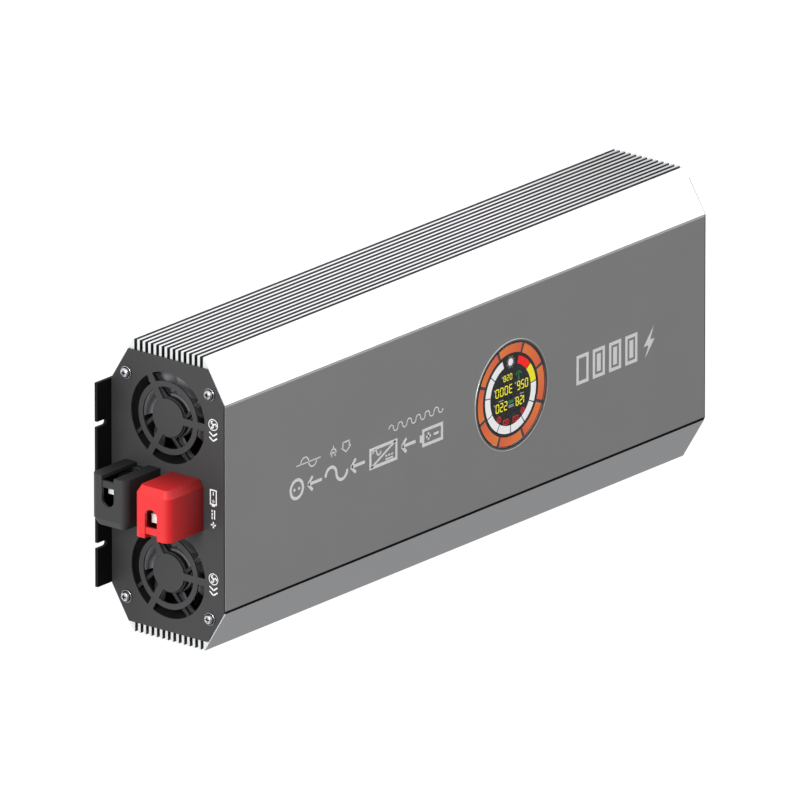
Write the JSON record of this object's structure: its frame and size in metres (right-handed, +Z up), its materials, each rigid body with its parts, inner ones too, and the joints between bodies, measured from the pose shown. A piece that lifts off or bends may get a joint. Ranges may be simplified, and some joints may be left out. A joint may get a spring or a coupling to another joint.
{
  "type": "power inverter",
  "caption": "Long finned aluminium power inverter with twin end fans, covered battery terminals, a round display on top, round-pin sockets at the far end and slotted mounting flanges.",
  "frame": {"origin": "centre of the base plate's underside", "axes": "+X along the case towards the fan and battery terminal end, +Z up through the display"},
  "size_m": [0.4857, 0.178, 0.0864],
  "materials": {
    "black_paint": "satin",
    "bare_aluminium": "satin",
    "grey_panel": "brushed",
    "end_plate_paint": "satin",
    "zinc_steel": "satin",
    "black_steel": "satin",
    "fan_plastic": "matt",
    "rotor_plastic": "satin",
    "copper_wire": "enamelled",
    "black_moulding": "matt",
    "plated_brass": "nickel plated",
    "red_plastic": "satin",
    "black_plastic": "satin",
    "copper": "tinned copper",
    "bright_ring": "polished",
    "window": "gloss",
    "board_green": "gloss",
    "ferrite": "matt",
    "winding_tape": "taped",
    "capacitor_sleeve": "sleeved",
    "pad_grey": "matt",
    "fuse_orange": "gloss",
    "lead_red": "satin",
    "contact_brass": "satin",
    "rocker_plastic": "satin"
  },
  "bodies": {
    "case": {"base_plate": "black_paint", "heat_sink_left": "bare_aluminium", "heat_sink_right": "bare_aluminium", "top_panel": "grey_panel", "fan_end_plate": "end_plate_paint", "outlet_end_plate": "end_plate_paint", "end_plate_screws": "zinc_steel", "end_plate_washers": "zinc_steel", "base_screws": "black_steel", "fan_frame_left": "fan_plastic", "fan_frame_right": "fan_plastic", "fan_stators": "copper_wire", "fan_bracket": "zinc_steel", "fan_screws": "zinc_steel", "bracket_screws": "zinc_steel", "terminal_block": "black_moulding", "terminal_bar_plus": "plated_brass", "terminal_bar_minus": "plated_brass", "terminal_bolts": "zinc_steel", "terminal_washers": "zinc_steel", "terminal_nuts": "zinc_steel", "bus_bars": "copper", "bus_screws": "zinc_steel", "display_bezel": "bright_ring", "display_window": "window", "display_module": "black_moulding", "display_board": "board_green", "display_pillars": "zinc_steel", "display_screws": "zinc_steel", "main_board": "board_green", "board_pillars": "zinc_steel", "board_screws": "zinc_steel", "transformer_cores": "ferrite", "transformer_windings": "winding_tape", "input_capacitors": "capacitor_sleeve", "bus_capacitors": "capacitor_sleeve", "output_choke_core": "ferrite", "output_choke_winding": "copper_wire", "power_transistors": "black_moulding", "insulator_strips": "pad_grey", "heat_spreaders": "bare_aluminium", "spreader_screws": "zinc_steel", "clamp_strips": "zinc_steel", "clamp_screws": "zinc_steel", "control_card": "board_green", "input_fuses": "fuse_orange", "output_leads": "lead_red", "outlet_body_a": "black_moulding", "outlet_body_b": "black_moulding", "outlet_contacts": "contact_brass", "outlet_screws": "zinc_steel", "switch_body": "black_moulding", "switch_tabs": "contact_brass", "earth_stud": "contact_brass", "earth_nuts": "zinc_steel"},
    "rotor_left": {"fan_rotor_left": "rotor_plastic"},
    "rotor_right": {"fan_rotor_right": "rotor_plastic"},
    "rocker": {"rocker": "rocker_plastic"},
    "cover_plus": {"terminal_cover_plus": "red_plastic"},
    "cover_minus": {"terminal_cover_minus": "black_plastic"}
  },
  "joints": [
    {"name": "fan_left_spin", "type": "hinge", "parent": "case", "child": "rotor_left", "pos_m": [0.206, 0.047, 0.0444], "axis": [1, 0, 0], "continuous": true},
    {"name": "fan_right_spin", "type": "hinge", "parent": "case", "child": "rotor_right", "pos_m": [0.206, -0.047, 0.0444], "axis": [1, 0, 0], "continuous": true},
    {"name": "power_rocker", "type": "hinge", "parent": "case", "child": "rocker", "pos_m": [-0.217, -0.06, 0.052], "axis": [0, -1, 0], "range_deg": [0, 20]},
    {"name": "cover_plus_pull", "type": "slide", "parent": "case", "child": "cover_plus", "axis": [1, 0, 0], "range_m": [0, 0.036]},
    {"name": "cover_minus_pull", "type": "slide", "parent": "case", "child": "cover_minus", "axis": [1, 0, 0], "range_m": [0, 0.036]}
  ]
}
